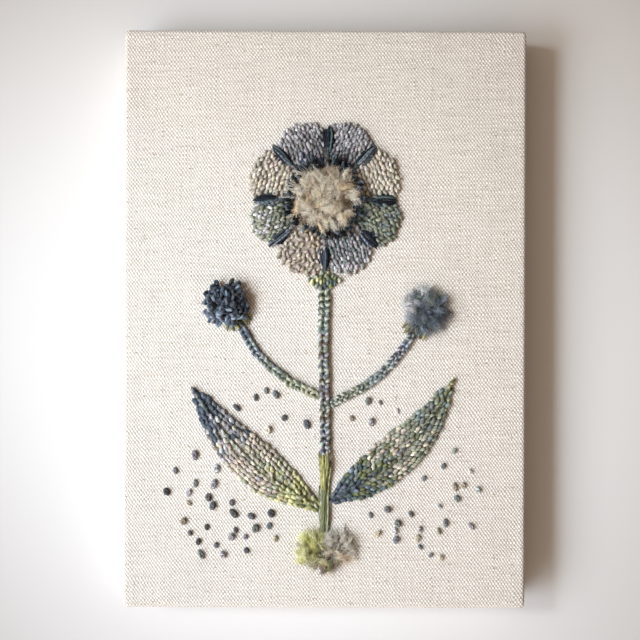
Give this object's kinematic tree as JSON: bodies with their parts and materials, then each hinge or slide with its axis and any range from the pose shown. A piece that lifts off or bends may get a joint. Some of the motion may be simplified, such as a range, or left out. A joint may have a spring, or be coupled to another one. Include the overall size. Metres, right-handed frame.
{
  "type": "embroidered canvas panel on a stretcher frame",
  "caption": "Small upright canvas panel wrapped round mitred pine stretcher bars, with a raised wool embroidery of a round bloom, leaves, tufted buds and knots.",
  "frame": {"origin": "middle of the panel's back, on the surface it lies on", "axes": "+Z out of the embroidered face, +Y to the top of the picture, +X to the right as it is looked at"},
  "size_m": [0.16, 0.23, 0.0316],
  "materials": {
    "canvas": "matte",
    "pine": "satin",
    "wool_bloom": "matte",
    "wool_pile": "matte",
    "wool_stem": "matte",
    "wool_leaf": "matte",
    "wool_navy": "matte",
    "wool_blue": "matte",
    "wool_moss": "matte"
  },
  "bodies": {
    "root": {"canvas": "canvas", "bar_top": "pine", "bar_bottom": "pine", "bar_left": "pine", "bar_right": "pine", "bloom": "wool_bloom", "pile_middle": "wool_pile", "bud_left": "wool_navy", "bud_right": "wool_blue", "foot_tuft": "wool_moss", "stem": "wool_stem", "calyx": "wool_stem", "branch_left": "wool_stem", "branch_right": "wool_stem", "leaf_left": "wool_leaf", "leaf_right": "wool_leaf"}
  },
  "joints": []
}
